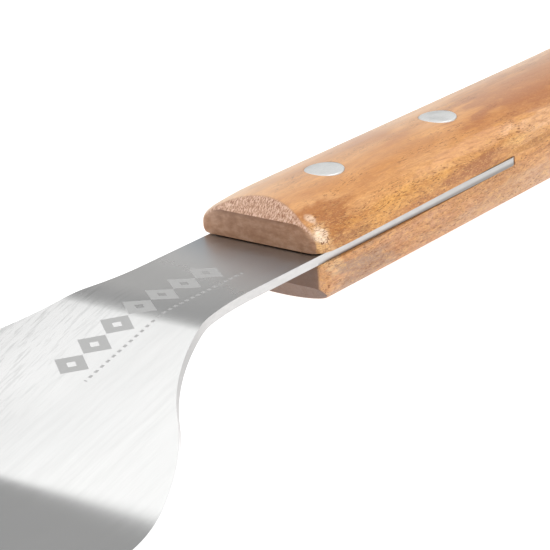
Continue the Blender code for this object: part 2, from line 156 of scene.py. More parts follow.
# Eyelet and loop
EYELET_BORE = 1.78 * MM
EYELET_RADIUS = 2.5 * MM
EYELET_FLANGE_RADIUS = 3.88 * MM
EYELET_FLANGE = 0.7 * MM
EYELET_LIP = 0.33 * MM
EYELET_HALF_LENGTH = 14.68 * MM
WIRE_RADIUS = 1.48 * MM
LOOP_REACH = 23.99 * MM
LOOP_HALF_WIDTH = 17.2 * MM
LOOP_PIN_CORNER = 2.6 * MM
LOOP_END_CORNER = 7.0 * MM
LOOP_DROOP = radians(24.93)

# Camera: the photo's viewpoint, ahead of the blade on its near side, looking back and down at the neck
CAMERA_PLACE = Vector((-0.34734, -0.29084, 0.17482))
CAMERA_RIGHT = Vector((0.6276, -0.7750, -0.0741))
CAMERA_UP = Vector((0.3178, 0.1681, 0.9331))
CAMERA_LENS = 168.28  # mm on a 36 mm sensor


def at(x, y, z):
    return Vector((WOOD_FRONT_X + x, y, TANG_TOP_Z + z))


def spread(low, high, steps):
    return [low + (high - low) * i / steps for i in range(steps + 1)]


def new_piece(name, mesh, finish, body, slot, *nodes):
    """A visible piece that rides on a body and stands for CAD nodes."""
    obj = bpy.data.objects.new(name, mesh)
    bpy.context.scene.collection.objects.link(obj)
    mesh.materials.clear()
    mesh.materials.append(finish)
    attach(obj, body)
    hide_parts(*nodes)
    return obj


def to_mesh(bm, name):
    mesh = bpy.data.meshes.new(name)
    bm.to_mesh(mesh)
    bm.free()
    return mesh


def carved(mesh, cutters):
    """The mesh with each cutter mesh taken out of it."""
    body = bpy.data.objects.new("work_body", mesh)
    bpy.context.scene.collection.objects.link(body)
    tools = []
    for cutter in cutters:
        tool = bpy.data.objects.new("work_cutter", cutter)
        bpy.context.scene.collection.objects.link(tool)
        step = body.modifiers.new("cut", "BOOLEAN")
        step.operation = "DIFFERENCE"
        step.solver = "EXACT"
        step.object = tool
        tools.append(tool)
    bpy.context.view_layer.update()
    graph = bpy.context.evaluated_depsgraph_get()
    made = bpy.data.meshes.new_from_object(body.evaluated_get(graph))
    for obj in tools + [body]:
        bpy.data.objects.remove(obj)
    return made


def soften(bm, width, degrees, wanted=lambda edge: True):
    """Rounds the edges that turn more than this."""
    limit = radians(degrees)
    edges = [e for e in bm.edges if len(e.link_faces) == 2 and e.calc_face_angle(0) > limit and wanted(e)]
    bmesh.ops.bevel(
        bm, geom=edges, offset=width, segments=3, profile=0.5, affect="EDGES", clamp_overlap=True,
        miter_outer="ARC",
    )


def smooth(obj, degrees=OTHER_SHARP):
    obj.data.shade_smooth()
    obj.data.set_sharp_from_angle(angle=radians(degrees))
    weighted = obj.modifiers.new("weighted", "WEIGHTED_NORMAL")
    weighted.keep_sharp = True
    weighted.weight = 60


def cylinder(radius, length, place, segments=64):
    bm = bmesh.new()
    bmesh.ops.create_cone(bm, cap_ends=True, segments=segments, radius1=radius, radius2=radius, depth=length)
    bm.transform(place)
    return to_mesh(bm, "cutter")


def block(size, place):
    bm = bmesh.new()
    bmesh.ops.create_cube(bm, size=1.0)
    bm.transform(place @ Matrix.Diagonal((*size, 1.0)))
    return to_mesh(bm, "cutter")


# ------------------------------------------------------------------ material nodes


class Recipe:
    """A material and short ways to add its nodes. A socket given as an argument is linked, others are set."""

    def __init__(self, name):
        self.material = bpy.data.materials.new(name)
        self.material.use_nodes = True
        self.tree = self.material.node_tree
        self.shader = self.tree.nodes["Principled BSDF"]
        self.place = self.tree.nodes.new("ShaderNodeTexCoord").outputs["Object"]

    def put(self, socket, value):
        if isinstance(value, bpy.types.NodeSocket):
            self.tree.links.new(value, socket)
        else:
            socket.default_value = value

    def math(self, operation, a, b=0.0, c=0.0):
        node = self.tree.nodes.new("ShaderNodeMath")
        node.operation = operation
        for socket, value in zip(node.inputs, (a, b, c)):
            self.put(socket, value)
        return node.outputs[0]

    def vector(self, operation, a, b):
        node = self.tree.nodes.new("ShaderNodeVectorMath")
        node.operation = operation
        self.put(node.inputs[0], a)
        self.put(node.inputs[1], b)
        return node.outputs["Value" if operation == "LENGTH" else "Vector"]

    def times(self, a, b):
        return self.math("MULTIPLY", a, b)

    def leaning(self, place, lean):
        """The place with x sheared by y and z, so that a stretched noise shows no cells across it."""
        node = self.tree.nodes.new("ShaderNodeCombineXYZ")
        x, y, z = self.parts(place)
        self.put(node.inputs[0], self.math("MULTIPLY_ADD", self.math("ADD", y, z), lean, x))
        self.put(node.inputs[1], y)
        self.put(node.inputs[2], z)
        return node.outputs[0]

    def noise(self, place, scales, detail=2.0, rough=0.5, colour=False, distortion=0.0):
        node = self.tree.nodes.new("ShaderNodeTexNoise")
        self.put(node.inputs["Vector"], self.vector("MULTIPLY", place, scales))
        node.inputs["Scale"].default_value = 1.0
        node.inputs["Detail"].default_value = detail
        node.inputs["Roughness"].default_value = rough
        node.inputs["Distortion"].default_value = distortion
        return node.outputs["Color" if colour else "Fac"]

    def span(self, value, low, high, to_low=0.0, to_high=1.0, smooth=True):
        node = self.tree.nodes.new("ShaderNodeMapRange")
        node.interpolation_type = "SMOOTHSTEP" if smooth else "LINEAR"
        node.clamp = True
        for socket, given in zip(node.inputs, (value, low, high, to_low, to_high)):
            self.put(socket, given)
        return node.outputs[0]

    def mix(self, share, a, b):
        """Two colours mixed. Sockets 6, 7 and 2 are the colour ones."""
        node = self.tree.nodes.new("ShaderNodeMix")
        node.data_type = "RGBA"
        self.put(node.inputs["Factor"], share)
        self.put(node.inputs[6], (*a, 1.0) if isinstance(a, tuple) else a)
        self.put(node.inputs[7], (*b, 1.0) if isinstance(b, tuple) else b)
        return node.outputs[2]

    def ramp(self, value, stops):
        node = self.tree.nodes.new("ShaderNodeValToRGB")
        points = node.color_ramp.elements
        for point, (place, colour) in zip(points, (stops[0], stops[-1])):
            point.position = place
            point.color = (*colour, 1.0)
        for place, colour in stops[1:-1]:
            points.new(place).color = (*colour, 1.0)
        self.put(node.inputs[0], value)
        return node.outputs[0]

    def parts(self, vector):
        node = self.tree.nodes.new("ShaderNodeSeparateXYZ")
        self.put(node.inputs[0], vector)
        return node.outputs

    def normal(self):
        return self.tree.nodes.new("ShaderNodeTexCoord").outputs["Normal"]

    def bump(self, height, distance, strength):
        node = self.tree.nodes.new("ShaderNodeBump")
        node.inputs["Distance"].default_value = distance
        node.inputs["Strength"].default_value = strength
        self.put(node.inputs["Height"], height)
        return node.outputs[0]

    def finish(self, **inputs):
        for name, value in inputs.items():
            self.put(self.shader.inputs[name.replace("_", " ")], value)
        return self.material


STEEL_GREY = (0.622, 0.624, 0.618)
STEEL_LIGHT = (0.648, 0.648, 0.642)
STEEL_CLOUD = (0.605, 0.612, 0.61)
# The next three colours are painted light and shade: a painted reflection on the slope, a painted reflection
# on the neck and painted shade by the wood.
STEEL_SLOPE_REFLECTION = (0.755, 0.755, 0.75)
STEEL_NECK_REFLECTION = (0.80, 0.79, 0.775)
STEEL_SHADE_BY_WOOD = (0.39, 0.435, 0.48)
STEEL_SCORED = (0.44, 0.445, 0.44)
STEEL_SCRATCHED = (0.36, 0.365, 0.36)
STEEL_ETCHED = (0.56, 0.56, 0.555)
CUT_DARK = (0.57, 0.56, 0.555)
CUT_LIGHT = (0.63, 0.62, 0.612)
# The next five colours are painted light and shade on the cut edges: painted shade inside the slot and along
# the edge's foot there, a painted dark reflection on the slope, a painted bright reflection on the blade and
# a painted highlight on the far side.
CUT_SHADE_IN_SLOT = (0.40, 0.39, 0.375)
CUT_FOOT_SHADE = (0.24, 0.22, 0.205)
CUT_SLOPE_REFLECTION = (0.47, 0.465, 0.46)
CUT_BLADE_REFLECTION = (0.86, 0.86, 0.86)
CUT_FAR_HIGHLIGHT = (0.96, 0.96, 0.96)
BRUSH_LEAN = 9.0
SCRATCH_LEAN = 0.13  # how far the finer scratches cross the brushing
FINE_BUMP = 0.01 * MM


def brushed_face(r, x, y, ahead, lean, fine, streak):
    """Lengthwise brushing with finer scratches across it, more of them on the far side, and painted
    reflections on the slope and the neck.
    """
    cloud = r.noise(r.place, (30, 50, 50), 3)
    far_side = r.span(y, -8 * MM, 20 * MM)
    colour = r.mix(r.span(fine, 0.3, 0.7), STEEL_GREY, STEEL_LIGHT)
    colour = r.mix(r.span(cloud, 0.35, 0.65, 0.0, 0.3), colour, STEEL_CLOUD)
    # painted reflection: the slope is painted lighter, more so on the far side
    slope_reflection = r.times(r.span(ahead, 33 * MM, 41 * MM), r.span(ahead, 72 * MM, 58 * MM))
    slope_reflection = r.times(slope_reflection, r.span(y, -12 * MM, 10 * MM, 0.25, 0.85))
    colour = r.mix(slope_reflection, colour, STEEL_SLOPE_REFLECTION)
    scored = r.times(r.span(streak, 0.54, 0.66), r.math("MULTIPLY_ADD", far_side, 0.27, 0.02))
    colour = r.mix(scored, colour, STEEL_SCORED)
    quarter_turn = r.vector("CROSS_PRODUCT", (0, 0, 1), r.place)
    slanting = r.vector("ADD", lean, r.vector("MULTIPLY", quarter_turn, (0, -SCRATCH_LEAN, 0)))
    scratch = r.noise(slanting, (40, 1200, 0), 3, 0.65)
    scratched = r.times(r.span(scratch, 0.51, 0.62), r.math("MULTIPLY_ADD", far_side, 0.3, 0.02))
    colour = r.mix(scratched, colour, STEEL_SCRATCHED)
    # painted reflection: the neck near the wood is painted lighter, more so on the far side
    neck_reflection = r.span(x, WOOD_FRONT_X - 34 * MM, WOOD_FRONT_X - 26 * MM)
    neck_reflection = r.times(neck_reflection, r.span(y, -14 * MM, 7 * MM, 0.2, 0.95))
    return r.mix(neck_reflection, colour, STEEL_NECK_REFLECTION)


def cut_edge(r, x, z, ahead):
    """The stamped edges: faintly torn, with painted shade inside the slot and along their foot there, a
    painted dark reflection on the slope and a painted bright reflection on the blade.
    """
    torn = r.noise(r.place, (500, 500, 1500), 3, 0.6)
    edge = r.mix(r.span(torn, 0.3, 0.7), CUT_DARK, CUT_LIGHT)
    # painted shade: the cut edge is painted darker inside the slot
    inside = r.span(x, WOOD_FRONT_X, WOOD_FRONT_X + 50 * MM, smooth=False)
    edge = r.mix(r.times(inside, 0.5), edge, CUT_SHADE_IN_SLOT)
    depth = r.math("ADD", r.math("SUBTRACT", TANG_TOP_Z, z), r.times(inside, 0.4 * MM))
    # painted shade: the lower part of the edge inside the slot is painted darker still
    foot = r.times(r.span(depth, 1.1 * MM, 1.75 * MM), r.math("GREATER_THAN", x, WOOD_FRONT_X))
    edge = r.mix(r.times(foot, 0.85), edge, CUT_FOOT_SHADE)
    # painted reflection: on the slope the cut edge is painted darker, the reflection of the shade under the
    # handle
    slope_reflection = r.times(r.span(ahead, 28 * MM, 44 * MM), r.span(ahead, 62 * MM, 54 * MM))
    edge = r.mix(slope_reflection, edge, CUT_SLOPE_REFLECTION)
    # painted reflection: on the blade the cut edge is painted near white
    return r.mix(r.span(ahead, 58 * MM, 66 * MM), edge, CUT_BLADE_REFLECTION)


def steel_sheet():
    """Satin stainless, brushed lengthwise, with the plain etched ornament across the first bend, and painted
    reflections, highlights and shade on its faces and cut edges.
    """
    r = Recipe("sheet_steel")
    x, y, z = r.parts(r.place)
    _, ny, nz = r.parts(r.normal())
    ahead = r.math("SUBTRACT", WOOD_FRONT_X, x)
    lean = r.leaning(r.place, BRUSH_LEAN)
    fine = r.noise(lean, (45, 3600, 0), 3, 0.6)
    streak = r.noise(lean, (14, 620, 0), 3, 0.65)
    colour = brushed_face(r, x, y, ahead, lean, fine, streak)
    rough = r.span(streak, 0.3, 0.7, 0.19, 0.22)
    near_wood = r.math("MULTIPLY_ADD", y, -0.3, x)
    blur = r.span(near_wood, WOOD_FRONT_X - 27 * MM, WOOD_FRONT_X - 10 * MM)
    rough = r.math("MULTIPLY_ADD", blur, 0.12, rough)
    rough = r.math("SUBTRACT", rough, r.span(ahead, 60 * MM, 74 * MM, 0.0, 0.03))
    # painted shade: the steel is painted darker and bluer close to the wood's front
    shade_by_wood = r.span(near_wood, WOOD_FRONT_X - 18 * MM, WOOD_FRONT_X - 3 * MM)
    colour = r.mix(r.times(shade_by_wood, 0.85), colour, STEEL_SHADE_BY_WOOD)
    etched = ornament(r)
    colour = r.mix(r.times(etched, 0.9), colour, STEEL_ETCHED)
    rough = r.math("ADD", rough, r.times(etched, 0.45))
    cut = r.span(r.math("ABSOLUTE", nz), 0.35, 0.65, 1.0, 0.0)
    colour = r.mix(cut, colour, cut_edge(r, x, z, ahead))
    rough = r.math("MAXIMUM", rough, r.times(cut, 0.42))
    # painted highlight: the cut edges facing the far side are painted near white
    far = r.times(r.span(ny, 0.02, 0.1), r.span(ahead, 4 * MM, 20 * MM))
    colour = r.mix(far, colour, CUT_FAR_HIGHLIGHT)
    rough = r.math("MAXIMUM", rough, r.times(far, 0.6))
    height = r.math("SUBTRACT", fine, r.times(etched, 0.4))
    return r.finish(
        Base_Color=colour, Metallic=1.0, Roughness=rough, Normal=r.bump(height, FINE_BUMP, 0.06),
    )


ORNAMENT_X = (-55.0 * MM, -13.0 * MM)  # from the wood's front
ORNAMENT_HALF_HEIGHT = 4.0 * MM
LOZENGE_COUNT = 7
LOZENGE_GAP = 1.075  # above 1, the lozenges' points stand apart
DASH_PITCH = 1.5 * MM
DASH_OFFSET = 1.9 * MM  # of the dashes from the lozenges
DASH_HALF_HEIGHT = (0.3 * MM, 0.36 * MM)


def ornament(r):
    """Where the etched chain of plain lozenges and the line beside it lie."""
    x, y, _ = r.parts(r.vector("SUBTRACT", r.place, (WOOD_FRONT_X, 0, 0)))
    pitch = (ORNAMENT_X[1] - ORNAMENT_X[0]) / LOZENGE_COUNT
    along = r.math("FRACT", r.math("DIVIDE", r.math("SUBTRACT", x, ORNAMENT_X[0]), pitch))
    along = r.times(r.math("ABSOLUTE", r.math("SUBTRACT", along, 0.5)), 2 * LOZENGE_GAP)
    across = r.math("DIVIDE", r.math("ABSOLUTE", y), ORNAMENT_HALF_HEIGHT)
    size = r.math("ADD", along, across)
    lozenge = r.times(r.span(size, 1.0, 1.03, 1, 0), r.span(size, 0.3, 0.33))
    line = r.math("ABSOLUTE", r.math("ADD", y, ORNAMENT_HALF_HEIGHT + DASH_OFFSET))
    line = r.span(line, *DASH_HALF_HEIGHT, 1, 0)
    dash = r.math("FRACT", r.math("DIVIDE", x, DASH_PITCH))
    line = r.times(line, r.math("LESS_THAN", dash, 0.5))
    start, end = ORNAMENT_X
    within = r.times(r.math("GREATER_THAN", x, start), r.math("LESS_THAN", x, end))
    up = r.span(r.parts(r.normal())[2], 0.5, 0.6)
    return r.times(r.times(r.math("MAXIMUM", lozenge, line), within), up)


# Patches where the wood's colour changes, and the painted highlights marked among them: centre and reach in
# mm, colour, how strongly. The centre is measured from the wood's front end, the wood's middle and the tang's
# top face.
WOOD_PATCHES = (
    ((7.0, -11.5, 5.0), (7.0, 6.0, 4.5), (0.35, 0.115, 0.024), 0.85),
    ((24.0, -14.0, 2.4), (24.0, 4.0, 2.4), (0.74, 0.37, 0.10), 0.7),
    ((9.0, -13.5, 1.2), (7.0, 3.0, 1.5), (0.36, 0.155, 0.050), 0.85),
    # painted highlight: the rounded near front corner is painted lighter and golden
    ((1.8, -13.4, 2.6), (2.6, 3.4, 5.0), (0.84, 0.52, 0.24), 0.75),
    ((5.8, -14.0, 2.5), (2.2, 3.0, 1.6), (0.33, 0.125, 0.038), 0.75),
    # painted highlights: two cream spots on the near front corner
    ((1.9, -13.6, 3.4), (1.5, 2.0, 1.5), (1.0, 0.85, 0.68), 0.75),
    ((2.4, -11.2, 6.0), (1.0, 1.5, 1.3), (1.0, 0.82, 0.66), 0.5),
    ((45.0, -8.0, 7.4), (60.0, 3.0, 2.5), (0.48, 0.19, 0.055), 0.28),
    ((52.0, -11.5, 5.4), (20.0, 2.5, 1.6), (0.80, 0.45, 0.26), 0.4),
    ((80.0, -8.0, 7.2), (24.0, 4.0, 2.6), (0.38, 0.14, 0.050), 0.6),
    ((73.0, -13.0, 4.7), (11.0, 2.5, 2.0), (0.90, 0.56, 0.34), 0.7),
    ((51.0, -13.5, 2.0), (12.0, 3.0, 1.9), (0.34, 0.120, 0.042), 0.85),
    ((65.0, -13.3, 2.9), (6.0, 2.5, 1.3), (0.88, 0.53, 0.20), 0.65),
    ((71.0, -13.5, 0.7), (9.0, 2.5, 1.1), (0.46, 0.200, 0.045), 0.85),
    ((98.0, -3.0, 8.5), (40.0, 10.0, 5.0), (0.38, 0.14, 0.055), 0.75),
    # painted highlight: the rounded near corner below the tang is painted lighter
    ((4.0, -13.5, -3.0), (2.6, 3.0, 2.6), (0.88, 0.58, 0.32), 0.6),
    ((13.0, -13.5, -6.0), (13.0, 4.0, 4.8), (0.35, 0.240, 0.180), 0.8),
    ((58.0, -13.5, -3.1), (18.0, 3.0, 1.7), (0.48, 0.225, 0.075), 0.5),
    ((64.0, -13.0, -7.0), (34.0, 3.0, 3.0), (0.53, 0.370, 0.260), 0.45),
    ((72.0, -12.5, -1.6), (9.0, 2.5, 0.45), (0.36, 0.15, 0.07), 0.6),
    ((150.0, -8.0, 5.0), (30.0, 6.0, 4.0), (0.38, 0.14, 0.05), 0.5),
    ((130.0, 9.0, 3.0), (26.0, 7.0, 3.0), (0.76, 0.42, 0.20), 0.5),
    ((45.0, 13.0, 1.0), (34.0, 5.0, 3.0), (0.40, 0.15, 0.05), 0.5),
    ((110.0, 0.0, -10.0), (50.0, 9.0, 5.0), (0.42, 0.17, 0.07), 0.45),
)


def wood_patch(r, place, warp, centre, reach):
    """How far a point is inside one soft, ragged patch."""
    offset = r.vector("SUBTRACT", place, tuple(c * MM for c in centre))
    size = r.vector("LENGTH", r.vector("MULTIPLY", offset, tuple(1 / (c * MM) for c in reach)), (0, 0, 0))
    return r.span(r.math("ADD", size, warp), 0.55, 1.15, 1.0, 0.0)


FIGURE_COLOURS = (
    (0.32, (0.46, 0.175, 0.052)),
    (0.45, (0.58, 0.260, 0.080)),
    (0.56, (0.65, 0.315, 0.110)),
    (0.70, (0.70, 0.380, 0.170)),
)
PLAIN_END_COLOURS = (
    (0.34, (0.33, 0.170, 0.105)),
    (0.50, (0.42, 0.235, 0.150)),
    (0.64, (0.50, 0.300, 0.205)),
)
COARSE_END_COLOURS = (
    (0.36, (0.24, 0.105, 0.065)),
    (0.48, (0.50, 0.295, 0.200)),
    (0.62, (0.76, 0.540, 0.430)),
)
WOOD_BOUNCE_LIGHT = (0.62, 0.36, 0.24)
WOOD_STREAK = (0.40, 0.155, 0.055)
WOOD_FIBRE = (0.36, 0.15, 0.06)
WOOD_SPECK_DARK = (0.32, 0.12, 0.035)
WOOD_SPECK_PALE = (0.86, 0.50, 0.16)
WOOD_FLECK = (0.86, 0.51, 0.19)
WOOD_CRACK = (0.25, 0.11, 0.05)
WOOD_PORE = (0.20, 0.075, 0.025)
WOOD_PAINTED_SHEEN = (0.90, 0.88, 0.80)
END_SHADED = (0.115, 0.078, 0.068)
END_UNDER_EDGE = (0.22, 0.11, 0.07)
NEAR_CORNER = ((1.8, -13.2, 3.0), (2.6, 3.0, 3.6))  # centre and reach in mm, as for the patches
WOOD_SWAY = 12.0 * MM
WOOD_BUMP = 0.05 * MM


def wood_figure(r, place, swayed, warp, z):
    """Cloudy figure, painted paler and pinker bounce light below the tang, and the patches."""
    figure = r.noise(swayed, (34, 110, 110), 3, 0.55, distortion=0.6)
    colour = r.ramp(figure, FIGURE_COLOURS)
    # painted light: below the tang the wood is painted paler and pinker, the floor's bounce light
    under = r.span(z, -1 * MM, -3 * MM)
    bounce_light = r.span(r.noise(swayed, (90, 330, 330), 3, 0.6), 0.35, 0.65, 0.25, 0.7)
    colour = r.mix(r.times(under, bounce_light), colour, WOOD_BOUNCE_LIGHT)
    for centre, reach, tint, share in WOOD_PATCHES:
        colour = r.mix(r.times(wood_patch(r, place, warp, centre, reach), share), colour, tint)
    return colour


def wood_specks(r, colour, place, ny):
    """Dark and pale specks, stronger on the handle's sides."""
    side = r.span(r.math("ABSOLUTE", ny), 0.25, 0.75)
    mottle = r.noise(r.leaning(place, 0.6), (520, 1500, 1500), 3, 0.7)
    fleck = r.noise(place, (1500, 4200, 4200), 2, 0.6)
    for specks, on_sides, everywhere, tint in (
        (r.span(mottle, 0.5, 0.66), 0.34, 0.08, WOOD_SPECK_DARK),
        (r.span(mottle, 0.48, 0.34), 0.22, 0.05, WOOD_SPECK_PALE),
        (r.span(fleck, 0.5, 0.7), 0.25, 0.1, WOOD_FLECK),
    ):
        share = r.math("MULTIPLY_ADD", side, on_sides, everywhere)
        colour = r.mix(r.times(specks, share), colour, tint)
    return colour


def wood_pores(r, place, swayed, x, y, z):
    """Where the open pores are. They crowd in places, and on the flanks towards the front."""
    pores = r.noise(swayed, (900, 5200, 5200), 1, 0.5)
    crowd = r.noise(place, (70, 300, 300), 2)
    flank = r.times(r.span(r.math("ABSOLUTE", y), 9.5 * MM, 12.5 * MM), r.span(z, 7 * MM, 3.5 * MM))
    crowd = r.math("ADD", crowd, r.times(flank, r.span(x, 70 * MM, 20 * MM, 0.08, 0.2)))
    return r.times(r.span(pores, 0.59, 0.66), r.span(crowd, 0.46, 0.62))


def end_grain(r, place, x, z, slanted, speck):
    """Fine on the front face, coarse on its chamfers, and darker below the tang and under the edge."""
    plain = r.noise(place, (500, 420, 900), 3, 0.65)
    grain = r.mix(slanted, r.ramp(plain, PLAIN_END_COLOURS), r.ramp(speck, COARSE_END_COLOURS))
    shaded = r.times(r.span(z, -1.0 * MM, -2.5 * MM), r.math("LESS_THAN", x, 8 * MM))
    grain = r.mix(r.times(shaded, 0.88), grain, END_SHADED)
    under_edge = r.times(r.span(z, 4.3 * MM, 5.3 * MM), r.math("SUBTRACT", 1.0, slanted))
    return r.mix(r.times(under_edge, 0.5), grain, END_UNDER_EDGE)


def handle_wood():
    """Oiled hardwood: figure, fibre, specks, cracks at the near front corner, pores and end grain, with
    painted bounce light below the tang, painted highlights on the near front corners and a painted sheen on
    the crown's far half.
    """
    r = Recipe("handle_wood")
    place = r.vector("SUBTRACT", r.place, (WOOD_FRONT_X, HANDLE_Y, TANG_TOP_Z))
    x, y, z = r.parts(place)
    nx, ny, nz = r.parts(r.normal())
    sway = r.vector("SUBTRACT", r.noise(place, (14, 60, 60), 2, colour=True), (0.5, 0.5, 0.5))
    swayed = r.vector("ADD", place, r.vector("MULTIPLY", sway, (0.0, WOOD_SWAY, WOOD_SWAY)))
    streak = r.noise(swayed, (60, 520, 520), 3, 0.6)
    fibre = r.noise(swayed, (260, 2800, 2800), 3, 0.65)
    warp = r.span(r.noise(swayed, (110, 420, 420), 3, 0.6), 0.25, 0.75, -0.45, 0.45)
    colour = wood_figure(r, place, swayed, warp, z)
    colour = r.mix(r.span(streak, 0.36, 0.60, 0.3, 0.0), colour, WOOD_STREAK)
    colour = r.mix(r.span(fibre, 0.34, 0.62, 0.3, 0.0), colour, WOOD_FIBRE)
    colour = wood_specks(r, colour, place, ny)
    vein = r.math("ABSOLUTE", r.math("SUBTRACT", r.noise(place, (620, 620, 330), 2), 0.5))
    cracks = r.times(r.span(vein, 0.02, 0.008), wood_patch(r, place, warp, *NEAR_CORNER))
    colour = r.mix(cracks, colour, WOOD_CRACK)
    pore = wood_pores(r, place, swayed, x, y, z)
    colour = r.mix(r.times(pore, 0.7), colour, WOOD_PORE)
    # painted sheen: the crown's far half is painted paler, the grazing reflection of the bright sky
    far_side = r.span(y, -8 * MM, 13 * MM, 0.0, 0.44, smooth=False)
    colour = r.mix(r.times(far_side, r.span(z, 1 * MM, 5 * MM)), colour, WOOD_PAINTED_SHEEN)
    facing_ahead = r.span(r.math("ABSOLUTE", nx), 0.42, 0.58)
    end = r.times(facing_ahead, r.span(r.math("ABSOLUTE", ny), 0.62, 0.4))
    slanted = r.times(end, r.span(r.math("ABSOLUTE", nz), 0.3, 0.5))
    speck = r.noise(place, (1700, 3600, 1700), 3, 0.7)
    colour = r.mix(r.times(end, 0.88), colour, end_grain(r, place, x, z, slanted, speck))
    rough = r.math("ADD", r.span(streak, 0.3, 0.7, 0.38, 0.5), r.times(end, 0.16))
    height = r.math("SUBTRACT", r.times(fibre, 0.4), pore)
    height = r.math("ADD", height, r.times(r.times(slanted, speck), 1.4))
    return r.finish(
        Base_Color=colour, Roughness=rough, Specular_IOR_Level=0.3,
        Normal=r.bump(height, WOOD_BUMP, 0.6),
    )


RIVET_DARK = (0.79, 0.795, 0.785)
RIVET_LIGHT = (0.88, 0.885, 0.875)
WIRE_DARK = (0.60, 0.60, 0.59)
WIRE_LIGHT = (0.74, 0.74, 0.73)


def rivet_metal():
    """Soft light metal, ground lengthwise with the wood."""
    r = Recipe("rivet_metal")
    fine = r.noise(r.place, (900, 6000, 900), 3, 0.6)
    cloud = r.noise(r.place, (400, 400, 400), 2)
    colour = r.mix(r.span(fine, 0.3, 0.7), RIVET_DARK, RIVET_LIGHT)
    rough = r.span(cloud, 0.3, 0.7, 0.42, 0.55)
    return r.finish(
        Base_Color=colour, Metallic=1.0, Roughness=rough, Normal=r.bump(fine, FINE_BUMP, 0.4),
    )


def wire_metal():
    """Smooth drawn steel."""
    r = Recipe("wire_metal")
    fine = r.noise(r.place, (1500, 1500, 1500), 3, 0.6)
    cloud = r.noise(r.place, (160, 160, 160), 3)
    colour = r.mix(r.span(cloud, 0.3, 0.7), WIRE_DARK, WIRE_LIGHT)
    rough = r.span(fine, 0.3, 0.7, 0.16, 0.3)
    return r.finish(
        Base_Color=colour, Metallic=1.0, Roughness=rough, Normal=r.bump(fine, FINE_BUMP, 0.3),
    )


# ------------------------------------------------------------------ stamped sheet


def corner_loss(past, radius):
    past = min(max(past, 0.0), radius)
    return radius - sqrt(radius**2 - past**2)


def shoulder_radius():
    rise = (BLADE_WIDTH - NECK_WIDTH) / 2 - FLARE_RADIUS * (1 - cos(FLARE_ANGLE))
    return rise / (1 - cos(FLARE_ANGLE))


def half_width(s):
    """The outline's half width at the distance s ahead of the wood's front."""
    neck, blade, shoulder = NECK_WIDTH / 2, BLADE_WIDTH / 2, shoulder_radius()
    concave_end = FLARE_START + FLARE_RADIUS * sin(FLARE_ANGLE)
    convex_end = concave_end + shoulder * sin(FLARE_ANGLE)
    if s <= FLARE_START:
        return neck - corner_loss(-s - (TANG_LENGTH - TANG_END_RADIUS), TANG_END_RADIUS)
    if s <= concave_end:
        return neck + FLARE_RADIUS - sqrt(FLARE_RADIUS**2 - (s - FLARE_START) ** 2)
    if s <= convex_end:
        return blade - shoulder + sqrt(shoulder**2 - (convex_end - s) ** 2)
    return blade - corner_loss(s - (SHEET_LENGTH - BLADE_CORNER_RADIUS), BLADE_CORNER_RADIUS)


def sheet_stations():
    bend_1 = NECK_FREE
    bend_1_end = bend_1 + NECK_BEND_RADIUS * BEND_ANGLE
    bend_2 = bend_1_end + SLOPE_LENGTH
    bend_2_end = bend_2 + HEEL_BEND_RADIUS * BEND_ANGLE
    flare_end = FLARE_START + (FLARE_RADIUS + shoulder_radius()) * sin(FLARE_ANGLE)
    tip = SHEET_LENGTH - BLADE_CORNER_RADIUS
    found = [-TANG_LENGTH + TANG_END_RADIUS * (1 - cos(t)) for t in spread(0, pi / 2, 6)]
    found += [s * MM for s in TANG_ROWS]
    found += spread(FLARE_START, bend_1, 10) + spread(bend_1, bend_1_end, 16)
    soft = HEEL_SOFTER_BY * tan(BEND_ANGLE / 2) + MM
    found += spread(bend_1_end, bend_2 - soft, 32) + spread(bend_2 - soft, bend_2_end + soft, 44)
    found += spread(bend_2_end + soft, flare_end, 12)
    found += spread(flare_end, tip, 6) + [tip + BLADE_CORNER_RADIUS * sin(t) for t in spread(0, pi / 2, 20)]
    found += [SHEET_LENGTH - FRONT_GRIND_LENGTH]
    return sorted({round(s, 6) for s in found})


def heel_radius(y):
    low, high = HEEL_SOFTENS_OVER
    share = min(max((abs(y) - low) / (high - low), 0.0), 1.0)
    return HEEL_BEND_RADIUS + HEEL_SOFTER_BY * share


def bent(s, y, depth):
    """Where a point of the flat sheet is once the two bends are made. Depth is down from the top face."""
    if s <= NECK_FREE:
        return at(-s, y, -depth)
    x, z = -NECK_FREE, 0.0
    s -= NECK_FREE
    turn = min(s / NECK_BEND_RADIUS, BEND_ANGLE)
    x -= NECK_BEND_RADIUS * sin(turn)
    z -= NECK_BEND_RADIUS * (1 - cos(turn))
    s -= NECK_BEND_RADIUS * turn
    radius = heel_radius(y)
    tangent = (radius - HEEL_BEND_RADIUS) * tan(BEND_ANGLE / 2)
    slope = SLOPE_LENGTH - tangent
    run = min(max(s, 0.0), slope)
    x -= run * cos(turn)
    z -= run * sin(turn)
    s -= run
    if s > 0:
        back = min(s / radius, BEND_ANGLE)
        x -= radius * (sin(BEND_ANGLE) - sin(BEND_ANGLE - back))
        z -= radius * (cos(BEND_ANGLE - back) - cos(BEND_ANGLE))
        turn = BEND_ANGLE - back
        saved = 2 * tangent - (radius - HEEL_BEND_RADIUS) * BEND_ANGLE
        x -= max(s - radius * BEND_ANGLE - saved, 0.0)
    return at(x + depth * sin(turn), y, z - depth * cos(turn))


